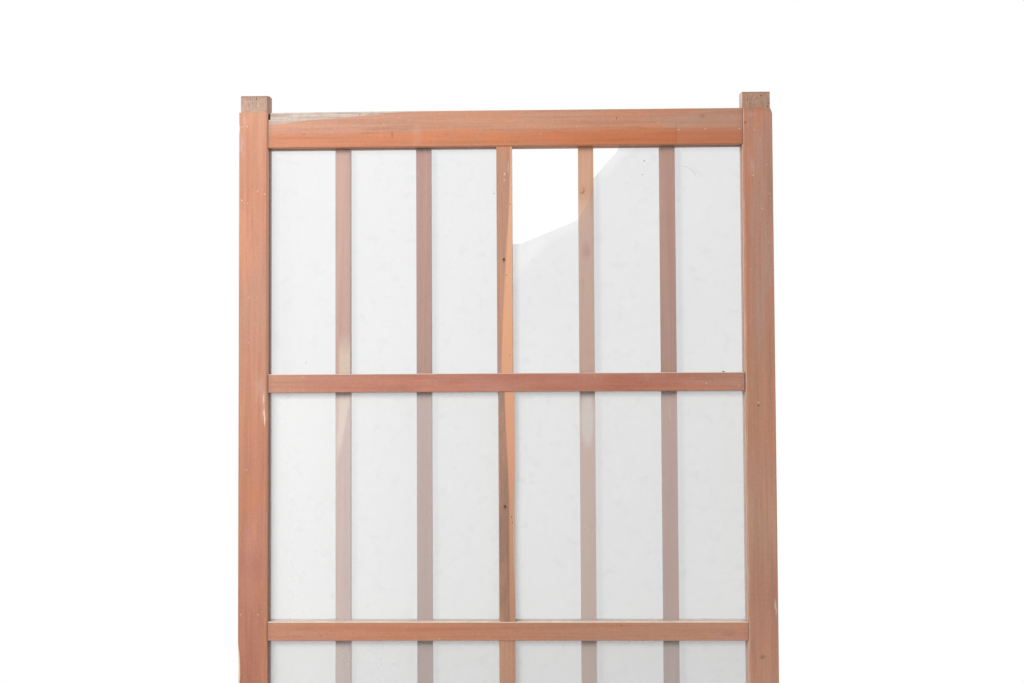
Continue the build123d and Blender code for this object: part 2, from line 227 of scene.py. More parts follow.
class Timber(Finish):  # stained softwood, whose colour, roughness and height are painted in steps
    def __init__(self, name, along, look, seed):
        super().__init__(name, woodLook["roughness"])
        long = woodLook["grainLength"]
        drawn = (1.0, 1.0, long) if along == "z" else (long, 1.0, 1.0)
        softer = (1.0, 1.0, 0.2) if along == "z" else (0.2, 1.0, 1.0)
        grainPlace = self.stretched(drawn, (seed, seed * 1.3, seed * 0.7))
        cloudPlace = self.stretched(softer, (seed * 2.1, seed, seed * 1.9))
        self.front = self.rise(self.forward, -0.3, -0.6)
        self.cloud = self.noise(cloudPlace, woodLook["cloudScale"], 4.0, 0.55, 0.6)
        self.fineCloud = self.noise(cloudPlace, woodLook["cloudScale"] * 4.3, 4.0, 0.6, 0.4)
        self.lines = self.noise(grainPlace, 170.0, 4.0, 0.62, 0.35)
        self.hairs = self.noise(grainPlace, 900.0, 2.0, 0.6)
        self.colour = self.stain(along, look)
        self.coat = 0.48 + self.lines * 0.14 + self.rise(self.cloud, 0.5, 0.7) * 0.1
        self.height = self.lines * 0.6 + self.hairs * 0.25
        if look.get("own"):
            look["own"](self)
        self.settleDirt()
        self.mark(look.get("pale", ()), woodLook["fleck"], 0.62, 0.3)
        self.mark(look.get("dark", ()), woodLook["pit"], 0.8, -1.0)
        for x, z, wide, tall, shade, share in look.get("patches", ()):
            patch = self.spot(x, z, wide * 1.25, tall * 1.25, 1.0, self.loose) * self.rise(self.fineCloud, 0.25, 0.6)
            self.paint(patch * self.front * share, shade)
        self.give(Base_Color=self.colour, Roughness=self.coat)
        self.bump(self.height, 0.0006, 0.45)

    def paint(self, share, shade, kind="MIX"):
        self.colour = self.blend(share, self.colour, shade, kind)

    def stain(self, along, look):
        run = self.z if along == "z" else self.x
        low, high = look["tones"][0][0], look["tones"][-1][0]
        stops = [((place - low) / (high - low), shade) for place, shade in look["tones"]]
        colour = self.ramp((run - low) / (high - low), stops)
        colour = self.blend(self.rise(self.cloud, 0.5, 0.68) * woodLook["cloudShare"], colour, look["dull"])
        colour = self.blend(self.rise(self.fineCloud, 0.52, 0.3) * woodLook["warmShare"], colour, look["warm"])
        lineShare = self.rise(self.lines, 0.42, 0.66) * woodLook["lineShare"]
        colour = self.blend(lineShare, colour, look["dull"], "MULTIPLY")
        hairShare = self.rise(self.hairs, 0.55, 0.75) * woodLook["hairShare"]
        colour = self.blend(hairShare, colour, woodLook["hair"], "MULTIPLY")
        grime = self.rise(self.noise(self.place, 60.0, 5.0, 0.7), 0.6, 0.78)
        colour = self.blend(grime * 0.26, colour, woodLook["grime"])
        faint = self.noise(self.place, 260.0, 4.0, 0.7)
        colour = self.blend(self.rise(faint, 0.5, 0.7) * 0.16, colour, woodLook["faint"])
        colour = self.blend(self.rise(faint, 0.5, 0.3) * 0.14, colour, woodLook["faintDark"])
        # rubbed arrises, painted pale as wear and also as a painted highlight along the edges: an eased edge faces two
        # ways at once
        upright = self.rise(abs(self.across) * abs(self.forward), 0.25, 0.45)
        level = self.rise(abs(self.upward) * abs(self.forward), 0.25, 0.45)
        rubbedAndHighlit = upright.over(level) * self.rise(self.fineCloud, 0.4, 0.62)
        return self.blend(rubbedAndHighlit * 0.5, colour, woodLook["rubbedAndHighlit"])

    def settleDirt(self):
        dusty = self.rise(self.upward, 0.5, 0.9) * self.rise(self.noise(self.place, 45.0, 4.0, 0.65), 0.3, 0.62)
        self.paint(dusty * 0.65, woodLook["dust"])
        foot = self.rise(self.z, 0.12, 0.0) * self.rise(self.noise(self.place, 30.0, 4.0, 0.7), 0.35, 0.65)
        self.paint(foot * 0.5, woodLook["footDirt"])

    def mark(self, marks, shade, share, depth):
        if marks:
            mask = self.spots(marks) * self.front
            self.paint(mask * share, shade)
            self.coat = self.coat + mask * 0.25
            self.height = self.height + mask * depth

    def bare(self, mask, light, dark):  # weathered wood that was never stained
        pale = self.blend(self.rise(self.lines, 0.40, 0.62) * 0.6, light, dark)
        pale = self.blend(self.rise(self.hairs, 0.5, 0.7) * 0.4, pale, woodLook["bareHair"])
        self.paint(mask, pale)
        self.coat = self.coat + mask * 0.25
        self.height = self.height + mask * (self.lines - 0.6) * 1.2

    def jointGrime(self, left, right):  # grime in the joints, where a rail meets the stiles
        near = self.rise(self.x, -0.380, -0.392) * left
        near = near.over(self.rise(self.x, 0.379, 0.391) * right)
        self.paint(near * 0.2, srgb(120, 84, 68))
        joint = self.rise(self.x, -0.3905, -0.3921) * left
        joint = joint.over(self.rise(self.x, 0.3904, 0.3913) * right)
        self.paint(joint * 0.75, srgb(84, 54, 42))


# the inner colours are painted light and shade: pale on the right horn's inner side, which faces the light, darker on
# the left horn's, which faces away
hornLook = {
    "left": {
        "light": srgb(200, 168, 148), "mottle": srgb(168, 134, 114), "dark": srgb(178, 146, 128),
        "foot": srgb(222, 198, 182), "top": srgb(140, 110, 94), "inner": srgb(186, 152, 128),
    },
    "right": {
        "light": srgb(206, 173, 151), "mottle": srgb(171, 138, 116), "dark": srgb(184, 150, 128),
        "foot": srgb(198, 165, 140), "top": srgb(130, 104, 88), "inner": srgb(246, 236, 224),
    },
}


def bareHorn(wood, look, innerSide, arch):
    # the stain ends in a wandering line at the shoulder; the horn above it is bare
    edge = leafPlaces["shoulder"] + (wood.fineCloud - 0.5) * 0.002 - wood.rise(wood.x * innerSide, -0.42, -0.44) * arch
    mask = wood.rise(wood.z - edge, -0.0004, 0.0004).over(wood.rise(wood.upward, 0.6, 0.8))
    foot = wood.rise(wood.upward, -0.6, -0.8)
    mottle = wood.rise(wood.noise(wood.place, 210.0, 5.0, 0.75), 0.42, 0.62)
    light = wood.blend(mottle, look["light"], look["mottle"])
    streaks = wood.rise(wood.z, 1.763, 1.752) * wood.rise(wood.lines, 0.5, 0.62)
    light = wood.blend(streaks * 0.8, light, look["foot"])
    light = wood.blend(wood.rise(wood.z, 1.7700, 1.7728) * 0.6, light, look["top"])
    # painted light and shade: the inner side takes the horn's inner colour
    light = wood.blend(wood.rise(wood.across * innerSide, 0.4, 0.75) * 0.85, light, look["inner"])
    wood.bare(mask.over(foot), light, look["dark"])


def leftStileOwn(wood):
    bareHorn(wood, hornLook["left"], 1.0, 0.0)
    # chipped arrises show pale new wood, and the scoops face neither way squarely
    square = abs(wood.forward)
    hollow = wood.rise(square, 0.999, 0.99) * wood.rise(square, 0.2, 0.4)
    inner = wood.spot(-0.395, 1.2504, 0.008, 0.027, 0.3) * wood.rise(wood.lines, 0.4, 0.55)
    wood.paint(hollow * inner * 0.45, srgb(222, 182, 150))
    wood.paint(hollow * wood.spot(-0.438, 0.8264, 0.008, 0.05, 0.2) * 0.9, srgb(236, 208, 180))
    wood.paint(hollow * wood.spot(-0.438, 1.7184, 0.006, 0.009, 0.2) * 0.7, srgb(214, 180, 160))
    smear = wood.spot(-0.3985, 1.270, 0.0016, 0.012, 0.7).over(wood.spot(-0.3968, 1.240, 0.0018, 0.020, 0.7))
    smear = smear.over(wood.spot(-0.3985, 1.2465, 0.0014, 0.007, 0.7)) * wood.rise(wood.hairs + wood.lines, 0.75, 1.0)
    wood.paint(smear * wood.front * 0.9, srgb(242, 218, 192))
    fringe = wood.spot(-0.3995, 1.256, 0.006, 0.036, 1.0, wood.loose)
    wood.paint(fringe * wood.front * 0.4, srgb(216, 172, 148))
    # its front inner arris is rubbed as light as its front, and its glazed side, which faces away from the light, is
    # painted darker as shade
    arris = wood.rise(wood.across, 0.3, 0.5) * wood.rise(wood.forward, -0.3, -0.5) * wood.rise(wood.z, 1.745, 1.744)
    wood.paint(arris * 0.75, srgb(232, 164, 126))
    side = wood.rise(wood.across, 0.6, 0.9) * wood.rise(wood.z, 1.69, 1.68)
    wood.paint(side * 0.35, srgb(126, 92, 76))


def rightStileOwn(wood):
    bareHorn(wood, hornLook["right"], -1.0, 0.0022)
    # painted highlight: its inner side, which faces the light, is painted pale from top to bottom
    side = wood.rise(wood.across, -0.8, -0.95) * wood.rise(wood.z, 1.7446, 1.7440)
    wood.paint(side * 0.72, srgb(230, 196, 174))
    below = wood.rise(wood.z, 1.7350, 1.7430) * wood.front
    wood.paint(below * 0.3, srgb(150, 100, 78))


leftStileLook = {
    "tones": [
        (0.0, srgb(166, 109, 87)), (0.75, srgb(177, 114, 91)), (0.95, srgb(187, 124, 98)),
        (1.2, srgb(196, 132, 104)), (1.33, srgb(197, 138, 110)), (1.45, srgb(191, 137, 112)),
        (1.6, srgb(197, 132, 100)), (1.75, srgb(202, 141, 108)),
    ],
    "dull": srgb(198, 144, 126),
    "warm": srgb(216, 146, 108),
    "pale": [
        (-0.4089, 1.6133, 0.0014, 0.0014), (-0.3976, 1.6082, 0.0018, 0.0016), (-0.4355, 1.5978, 0.0016, 0.0020),
        (-0.4256, 1.5935, 0.0016, 0.0012), (-0.4238, 1.4368, 0.0011, 0.0011), (-0.4237, 1.3625, 0.0011, 0.0011),
        (-0.4268, 1.1538, 0.0014, 0.0014), (-0.4072, 0.9172, 0.0014, 0.0014), (-0.4357, 0.9172, 0.0012, 0.0016),
        (-0.4270, 1.7210, 0.0018, 0.0022), (-0.4355, 1.7200, 0.0014, 0.0018),
    ],
    "dark": [(-0.4135, 0.4120, 0.0014, 0.0014), (-0.4020, 0.7050, 0.0012, 0.0010)],
    "patches": [
        (-0.4365, 1.568, 0.004, 0.012, srgb(222, 190, 170), 0.6),
        (-0.430, 1.731, 0.008, 0.010, srgb(214, 168, 152), 0.5),
        (-0.4365, 1.690, 0.004, 0.025, srgb(198, 170, 160), 0.6),
        (-0.405, 1.285, 0.010, 0.030, srgb(206, 160, 142), 0.6),
        (-0.412, 1.105, 0.030, 0.040, srgb(206, 128, 86), 0.4),
        (-0.415, 1.000, 0.028, 0.040, srgb(176, 108, 90), 0.5),
    ],
    "own": leftStileOwn,
}
rightStileLook = {
    "tones": [
        (0.0, srgb(178, 124, 98)), (0.75, srgb(197, 147, 120)), (0.95, srgb(183, 132, 109)),
        (1.07, srgb(189, 147, 124)), (1.2, srgb(187, 135, 109)), (1.33, srgb(183, 133, 106)),
        (1.45, srgb(190, 127, 99)), (1.6, srgb(189, 125, 97)), (1.75, srgb(206, 126, 86)),
    ],
    "dull": srgb(178, 146, 132),
    "warm": srgb(204, 140, 108),
    "pale": [
        (0.4338, 1.6023, 0.0014, 0.0014), (0.3989, 1.5615, 0.0012, 0.0010), (0.4220, 1.5778, 0.0014, 0.0010),
        (0.4327, 1.5218, 0.0011, 0.0011), (0.4080, 1.6323, 0.0012, 0.0018), (0.4027, 1.4777, 0.0010, 0.0010),
        (0.4121, 1.2603, 0.0015, 0.0015), (0.4200, 1.6900, 0.0010, 0.0010), (0.4300, 1.6500, 0.0010, 0.0012),
        (0.4171, 1.7563, 0.0010, 0.0014), (0.4290, 1.5480, 0.0010, 0.0010), (0.4110, 1.7080, 0.0012, 0.0010),
    ],
    "dark": [
        (0.3960, 1.7199, 0.0026, 0.0016), (0.4121, 1.2550, 0.0020, 0.0012), (0.4361, 1.7533, 0.0010, 0.0018),
        (0.4340, 1.7483, 0.0012, 0.0018),
    ],
    "patches": [
        (0.4050, 1.6500, 0.005, 0.018, srgb(196, 170, 162), 0.5),
        (0.3972, 1.54, 0.006, 0.30, srgb(190, 120, 84), 0.7),
        (0.4128, 0.8496, 0.006, 0.004, srgb(120, 82, 68), 0.8),
        (0.4365, 0.929, 0.002, 0.016, srgb(226, 200, 178), 0.8),
        (0.4050, 1.7330, 0.008, 0.006, srgb(196, 158, 142), 0.4),
        (0.4340, 1.60, 0.004, 0.12, srgb(168, 120, 100), 0.4),
    ],
    "own": rightStileOwn,
}


def topRailOwn(wood):
    # the waney edge at the left end is bare and greyed, with a dark line under it
    slope = wood.rise(wood.upward, 0.05, 0.10) * wood.rise(wood.forward, -0.05, -0.15) * wood.rise(wood.x, -0.12, -0.16)
    slope = slope * wood.rise(abs(wood.across), 0.5, 0.3)
    grey = wood.rise(wood.noise(wood.place, 70.0, 4.0, 0.7), 0.4, 0.65)
    wood.bare(slope, wood.blend(grey * 0.6, srgb(214, 198, 186), srgb(192, 172, 158)), srgb(172, 150, 138))
    # its lower part is fresher stain than the worn upper part, and duller again right of a line in the stain
    lower = wood.rise(wood.z + (wood.fineCloud - 0.5) * 0.012, 1.719, 1.701)
    wood.paint(lower * wood.front * 0.85, srgb(255, 218, 181), "MULTIPLY")
    duller = wood.rise(wood.x, 0.2815, 0.2835) * wood.rise(wood.z, 1.7180, 1.7130)
    wood.paint(duller * wood.front * 0.35, srgb(196, 140, 118))
    seam = wood.rise(abs(wood.x - 0.2825), 0.0012, 0.0004) * wood.rise(wood.z, 1.7220, 1.7160)
    wood.paint(seam * wood.front * 0.35, srgb(136, 88, 66))
    wood.paint(wood.rise(wood.x, -0.10, 0.30) * lower * wood.front * 0.8, srgb(248, 226, 200), "MULTIPLY")
    # painted shade: a darker strip along the bottom edge of its front, where the rail's underside is in shade
    wood.paint(wood.rise(wood.z, 1.6870, 1.6855) * wood.front * 0.35, srgb(140, 90, 70))
    # darker heartwood round a small knot
    figure = wood.spot(-0.214, 1.7120, 0.040, 0.006, 0.9, wood.loose) * wood.rise(wood.lines, 0.38, 0.58)
    wood.paint(figure * wood.front * 0.55, srgb(150, 98, 74))
    knot = wood.spot(-0.1858, 1.7050, 0.0038, 0.0110, 1.0, wood.ragged)
    wood.paint(knot * wood.front * 0.42, srgb(128, 78, 58))
    wood.jointGrime(1.0, 0.6)
    notch = wood.rise(wood.x, -0.3880, -0.3892) * wood.rise(wood.z, 1.7318, 1.7328)
    wood.paint(notch * 0.85, srgb(70, 46, 38))


topRailLook = {
    "tones": [
        (-0.43, srgb(199, 144, 115)), (-0.2, srgb(198, 144, 116)), (0.0, srgb(198, 142, 112)),
        (0.2, srgb(199, 133, 98)), (0.43, srgb(182, 124, 94)),
    ],
    "dull": srgb(192, 156, 138),
    "warm": srgb(222, 142, 96),
    "pale": [
        (0.2536, 1.7208, 0.0012, 0.0010), (0.2873, 1.7093, 0.0018, 0.0012), (0.3303, 1.7101, 0.0018, 0.0010),
        (0.3863, 1.7097, 0.0014, 0.0010), (-0.3100, 1.7200, 0.0014, 0.0012), (-0.2820, 1.7165, 0.0012, 0.0010),
        (-0.2000, 1.7230, 0.0016, 0.0010), (0.0600, 1.7050, 0.0012, 0.0010), (0.1200, 1.7160, 0.0010, 0.0010),
    ],
    "dark": [
        (-0.2396, 1.7402, 0.0016, 0.0012), (-0.3324, 1.7078, 0.0013, 0.0011), (0.1850, 1.7290, 0.0010, 0.0016),
    ],
    "patches": [
        (-0.175, 1.714, 0.030, 0.008, srgb(170, 122, 102), 0.45),
        (-0.145, 1.705, 0.010, 0.020, srgb(206, 164, 142), 0.5),
        (0.160, 1.722, 0.100, 0.006, srgb(160, 112, 90), 0.35),
        (0.300, 1.726, 0.100, 0.012, srgb(176, 142, 122), 0.5),
        (0.3259, 1.7316, 0.006, 0.005, srgb(150, 102, 84), 0.55),
    ],
    "own": topRailOwn,
}


def midRailOwn(wood):
    for floor in leafPlaces["railFloors"]:  # painted highlight: the top arris and top face of each rail are painted pale
        line = wood.rise(wood.z, floor - 0.0012, floor - 0.0004) * wood.rise(wood.z, floor + 0.002, floor + 0.0015)
        wood.paint(line * 0.9, srgb(244, 230, 214))
    wood.jointGrime(1.0, 0.6)


midRailLook = {
    "tones": [
        (-0.43, srgb(203, 142, 109)), (-0.2, srgb(197, 132, 100)), (0.0, srgb(190, 131, 102)),
        (0.2, srgb(185, 135, 108)), (0.43, srgb(198, 144, 115)),
    ],
    "dull": srgb(192, 144, 130),
    "warm": srgb(206, 132, 104),
    "pale": [
        (0.1463, 1.3044, 0.0012, 0.0010), (0.3278, 1.2918, 0.0012, 0.0010), (0.3814, 1.2877, 0.0014, 0.0012),
        (-0.3330, 1.3050, 0.0030, 0.0008), (-0.1098, 0.8775, 0.0016, 0.0010),
    ],
    "dark": [
        (-0.3048, 0.8819, 0.0011, 0.0011), (0.0866, 0.8853, 0.0010, 0.0010), (0.1858, 0.8985, 0.0010, 0.0010),
    ],
    "patches": [
        (0.3600, 0.886, 0.012, 0.008, srgb(150, 112, 96), 0.5),
        (0.30, 1.285, 0.10, 0.005, srgb(206, 128, 88), 0.4),
        (0.05, 1.296, 0.17, 0.030, srgb(176, 100, 68), 0.65),
    ],
    "own": midRailOwn,
}
upperMidRailLook = {
    **midRailLook,
    "tones": [
        (-0.43, srgb(200, 144, 119)), (-0.2, srgb(183, 122, 102)), (0.0, srgb(175, 103, 75)),
        (0.2, srgb(173, 98, 71)), (0.43, srgb(179, 130, 105)),
    ],
}
bottomRailLook = {
    "tones": [(-0.43, srgb(178, 122, 102)), (0.0, srgb(180, 122, 100)), (0.43, srgb(176, 124, 104))],
    "dull": srgb(166, 130, 114),
    "warm": srgb(186, 118, 90),
    "pale": [(0.12, 0.066, 0.0014, 0.0012), (-0.21, 0.040, 0.0012, 0.0012), (0.31, 0.052, 0.0018, 0.0010)],
    "dark": [(-0.05, 0.030, 0.0012, 0.0012), (0.22, 0.071, 0.0011, 0.0011)],
}


def barOwn(wood):
    # the bars' fronts have faded behind the glass, each in its own way
    faded = wood.ramp(wood.x + 0.5, barLook["faces"])
    faded = wood.blend(wood.rise(wood.lines, 0.42, 0.66) * 0.2, faded, srgb(190, 150, 130), "MULTIPLY")
    wood.paint(wood.front * 0.9, faded)
    veiled = wood.rise(wood.z, 1.620, 1.560) * wood.rise(wood.x, 0.05, 0.08) * wood.rise(wood.x, 0.20, 0.18)
    wood.paint(veiled * wood.front * 0.38, srgb(236, 206, 190))
    low = wood.rise(wood.z, 0.96, 0.86) * wood.front
    wood.paint(low * (wood.rise(wood.x, 0.2, 0.25) * 0.35).over(wood.rise(wood.x, -0.2, -0.25) * 0.2), srgb(232, 214, 204))
    # a comma-shaped knot with grain bent round it, and a pinkish one, on the fourth bar
    knotCentre = {0: wood.ragged, 1: (0.1302, 0.0, 1.6090)}
    reach = wood.node("ShaderNodeVectorMath", {"operation": "DISTANCE"}, knotCentre, 1)
    ripples = wood.rise(abs(reach.maths("SINE", reach * 900.0)), 0.55, 0.9)
    wood.paint(ripples * wood.rise(reach, 0.020, 0.006) * wood.front * 0.22, srgb(160, 104, 78))
    comma = wood.spot(0.1278, 1.6120, 0.0058, 0.0070, 0.5) * (1 - wood.spot(0.1256, 1.6138, 0.0056, 0.0066, 0.5))
    wood.paint(comma * wood.front * 0.6, srgb(132, 78, 54))
    wood.paint(wood.spot(0.1290, 1.6078, 0.0018, 0.0022, 0.9) * wood.front * 0.5, srgb(134, 78, 56))
    pinkish = wood.spot(0.134, 1.513, 0.011, 0.022, 0.9, wood.loose)
    wood.paint(pinkish * wood.front * 0.5, srgb(190, 132, 122))
    # the first bar has a pale sapwood streak, which narrows downwards
    streakEdge = (wood.z - 1.2485) * 0.185 - 0.2618 + (wood.fineCloud - 0.5) * 0.003
    streakStart = -0.2768 - wood.rise(wood.z, 1.24, 1.19) * 0.004
    streak = wood.rise(wood.x - streakEdge, 0.0028, -0.0028) * wood.rise(wood.x - streakStart, -0.003, 0.003)
    streak = streak * wood.rise(wood.z, 1.155, 1.20) * wood.rise(wood.z, 1.385, 1.335)
    wood.paint(streak * wood.front * 0.62, srgb(240, 220, 196))
    cloudy = wood.spot(0.134, 1.235, 0.014, 0.060, 0.5) * wood.rise(wood.z - wood.x * 0.8, 1.040, 1.056)
    wood.paint(cloudy * wood.front * 0.65, srgb(238, 230, 224))
    smear = wood.spot(0.269, 1.252, 0.011, 0.026, 0.6) * wood.rise(wood.lines, 0.5, 0.62)
    wood.paint(smear * wood.front * 0.8, srgb(238, 232, 226))


barLook = {
    "faces": [  # the front of each bar, by its place across the leaf
        (0.2, srgb(217, 175, 156)), (0.3, srgb(181, 143, 138)), (0.43, srgb(202, 152, 128)),
        (0.57, srgb(211, 165, 136)), (0.67, srgb(211, 165, 136)), (0.74, srgb(206, 156, 134)),
    ],
    "tones": [
        (0.0, srgb(170, 112, 96)), (0.9, srgb(178, 118, 102)), (1.3, srgb(184, 122, 104)), (1.75, srgb(190, 126, 104)),
    ],
    "dull": srgb(160, 114, 104),
    "warm": srgb(196, 128, 100),
    "pale": [(0.2588, 1.6048, 0.0012, 0.0012), (0.2705, 1.6180, 0.0012, 0.0014)],
    "dark": [(-0.1300, 1.5850, 0.0010, 0.0010)],
    "own": barOwn,
}


def stripOwn(wood):
    # heartwood on the left, lighter sapwood on the right, parted by a line that wanders down each strip
    upper = 0.009 - wood.rise(wood.z, 1.690, 1.300) * 0.0165
    lower = wood.rise(wood.z, 1.275, 1.090) * 0.0062 - 0.002
    inUpper = wood.rise(wood.z, 1.2940, 1.2955)
    divide = upper * inUpper + lower * (1 - inUpper)
    right = wood.rise(wood.x - divide + (wood.fineCloud - 0.5) * 0.0012, -0.0006, 0.0008)
    right = right * wood.rise(wood.z, 0.889, 0.890) * wood.front
    wood.paint(right * 0.92, wood.ramp((wood.z - 0.9) / 0.8, stripLook["sapwood"]))
    wood.paint(right * (1 - wood.rise(wood.x - divide, 0.0005, 0.0022)) * 0.25, srgb(150, 100, 76))
    # a pale edge where the long sliver came off, rusty rings round the nails
    square = abs(wood.forward)
    sliver = wood.rise(square, 0.999, 0.99) * wood.rise(square, 0.2, 0.4) * wood.spot(0.014, 1.0454, 0.008, 0.11, 0.1)
    wood.paint(sliver * 0.9, srgb(238, 218, 194))
    for level in leafPlaces["nailLevels"]:
        ring = wood.spot(leafPlaces["nailX"], level - 0.001, 0.0034, 0.0060, 0.7)
        wood.paint(ring * wood.front * 0.7, srgb(92, 58, 44))


stripLook = {
    "tones": [
        (0.0, srgb(165, 119, 93)), (0.86, srgb(190, 145, 118)), (0.90, srgb(155, 118, 98)),
        (1.08, srgb(155, 118, 98)), (1.29, srgb(158, 128, 111)), (1.31, srgb(173, 145, 131)),
        (1.70, srgb(196, 134, 98)),
    ],
    "sapwood": [
        (0.0, srgb(186, 136, 109)), (0.35, srgb(221, 158, 124)), (0.56, srgb(228, 165, 124)),
        (0.9, srgb(230, 175, 137)),
    ],
    "dull": srgb(176, 142, 126),
    "warm": srgb(206, 150, 118),
    "pale": [
        (-0.0002, 1.6387, 0.0014, 0.0032), (-0.0007, 1.6287, 0.0012, 0.0022), (0.0058, 1.6500, 0.0008, 0.0140),
    ],
    "dark": [
        (0.0019, 1.4710, 0.0010, 0.0012), (0.0018, 1.4529, 0.0009, 0.0010), (0.0068, 1.3393, 0.0010, 0.0010),
        (0.0088, 1.5884, 0.0012, 0.0010), (0.0086, 1.0748, 0.0012, 0.0018), (0.0097, 1.0659, 0.0010, 0.0014),
    ],
    "own": stripOwn,
}


glassLook = {
    "rows": {  # the share of each face that veils what is behind, and the veil's own colour
        1: (0.130, srgb(164, 166, 166)), 2: (0.285, srgb(210, 211, 210)),
        3: (0.35, srgb(199, 200, 199)), 4: (0.35, srgb(199, 200, 199)),
    },
    "roughness": 0.32,
    "ior": 1.48,
    # painted shade: how far the veil's colour darkens towards the right-hand side, away from the light
    "shadeTowardsRight": 0.72,  # towards the right-hand side
    # greys of the painted shadows on the glass, the soft bands and the darker rim
    "softShadowGrey": srgb(150, 153, 157),
    "rimShadowGrey": srgb(146, 140, 134),
    "breakEdges": ((0.0270, 1.5240, 0.378, -0.926), (0.1175, 1.5609, 0.925, -0.381), (0.1465, 1.6314, 0.750, -0.662)),
    "specks": [
        (0.2308, 1.6602, 0.0014, 0.0017), (0.2280, 1.6374, 0.0011, 0.0012), (0.2021, 1.6226, 0.0010, 0.0007),
        (-0.0179, 1.6076, 0.0011, 0.0012), (-0.3310, 1.3290, 0.0009, 0.0007), (-0.2120, 1.1420, 0.0010, 0.0010),
    ],
    "scratch": {"centre": (0.2930, -0.002, 1.6260), "radius": 0.0245},
}


def frostedGlass(row):
    veil, shade = glassLook["rows"][row]
    glass = Finish(f"frostedGlassRow{row}", glassLook["roughness"])
    cloud = glass.noise(glass.place, 6.0, 4.0, 0.6)
    mist = glass.noise(glass.place, 40.0, 4.0, 0.65)
    floor = leafPlaces["bayFloors"][row - 1]
    ceiling = floor + leafPlaces["bayHeight"]
    left, right = leafPlaces["leftInner"], leafPlaces["rightInner"]
    # painted shadows: a dark rim close in to the left stile and under the rail above, and softer painted shade further
    # out from them and to the right of each bar
    rim = glass.rise(glass.x, left + 0.0034, left).over(glass.rise(glass.z, ceiling - 0.0026, ceiling) * 0.6)
    softShadow = glass.rise(glass.x, left + 0.020, left + 0.004).over(glass.rise(glass.z, ceiling - 0.014, ceiling - 0.002) * 0.8)
    wide = glass.rise(glass.x, left + 0.060, left + 0.010)
    for centre in leafPlaces["barCentres"]:
        barEdge = centre + leafPlaces["barHalf"]
        beside = glass.rise(glass.x, barEdge - 0.001, barEdge) * glass.rise(glass.x, barEdge + 0.0150, barEdge + 0.0050)
        softShadow = softShadow.over(beside * (0.85 if row == 1 else 0.4))
        furtherShadow = glass.rise(glass.x, barEdge - 0.001, barEdge) * glass.rise(glass.x, barEdge + 0.034, barEdge)
        wide = wide.over(furtherShadow * 0.6)
    drop = glass.rise(glass.z, ceiling, floor) * 0.015
    haze = glass.rise(mist, 0.5, 0.75) * 0.03
    # painted light and shade: the veil's colour is lighter towards the left-hand side and darker towards the right, as
    # the light falls from the left, and in the top row the veil is also thinner on the left
    sideShade = glass.rise(glass.x, 0.45, -0.45) * -0.07 + 0.035 if row == 1 else 0.0
    # the painted shadows also thicken the veil
    share = veil + (cloud - 0.5) * 0.05 + drop + haze + rim * 0.28 + softShadow * 0.09 + wide * 0.03 + sideShade
    darker = tuple(part * glassLook["shadeTowardsRight"] for part in shade)
    colour = glass.blend(glass.rise(glass.x, -0.45, 0.40) * 0.6, shade, darker)
    lighter = tuple(min(part * 1.25, 0.9) for part in shade)
    colour = glass.blend(glass.rise(glass.x, -0.10, -0.38) * (0.2 if row == 1 else 0.55), colour, lighter)
    # painted shadow: the soft bands and the rim grey the veil's colour
    colour = glass.blend(softShadow * 0.5, colour, glassLook["softShadowGrey"])
    colour = glass.blend(rim * 0.6, colour, glassLook["rimShadowGrey"])
    colour = glass.blend(glass.rise(mist, 0.55, 0.8) * 0.3, colour, tuple(part * 0.85 for part in shade))
    specks = glass.spots(glassLook["specks"])
    share = share + specks * 0.35
    colour = glass.blend(specks * 0.9, colour, srgb(96, 92, 88))
    if row == 1:  # a clearer skin beside the break, and a hair-fine scratch
        foot, turn, head = [
            (glass.x - x) * alongX + (glass.z - z) * alongZ for x, z, alongX, alongZ in glassLook["breakEdges"]
        ]
        away = foot.over(turn).under(head)
        band = glass.rise(away, 0.022, 0.002) * glass.rise(glass.x, 0.002, 0.004)
        share = share - band * 0.05
        centre, radius = glassLook["scratch"]["centre"], glassLook["scratch"]["radius"]
        bow = glass.node("ShaderNodeVectorMath", {"operation": "DISTANCE"}, {0: glass.place, 1: centre}, 1)
        scratch = glass.rise(abs(bow - radius), 0.0006, 0.0002) * glass.rise(glass.x, 0.2915, 0.296)
        scratch = scratch * glass.rise(glass.z, 1.630, 1.636)
        share = share + scratch * 0.12
        colour = glass.blend(scratch * 0.8, colour, srgb(120, 120, 120))
    glass.give(Base_Color=colour, Alpha=share.over(0.02), Roughness=0.30 + mist * 0.15)
    glass.shader.inputs["IOR"].default_value = glassLook["ior"]
    return glass.material


def wornMetal(name, base, tarnish, rough, cover, scale=120.0):
    metal = Finish(name, rough, 1.0)
    patchy = metal.noise(metal.place, scale, 5.0, 0.65, 0.3)
    fine = metal.noise(metal.place, scale * 7, 3.0, 0.6)
    worn = metal.rise(patchy, cover - 0.08, cover + 0.1)
    colour = metal.blend(worn, base, tarnish)
    metal.give(Base_Color=colour, Metallic=1 - worn * 0.75, Roughness=rough + worn * 0.3 + fine * 0.08)
    metal.bump(patchy + fine * 0.4, 0.0002, 0.4)
    return metal.material


def driedDirt(name):
    dirt = Finish(name, 0.9)
    grains = dirt.noise(dirt.place, 1500.0, 4.0, 0.7)
    dirt.give(Base_Color=dirt.blend(dirt.rise(grains, 0.4, 0.6), srgb(96, 72, 58), srgb(150, 122, 100)))
    dirt.bump(grains, 0.0003, 0.6)
    return dirt.material


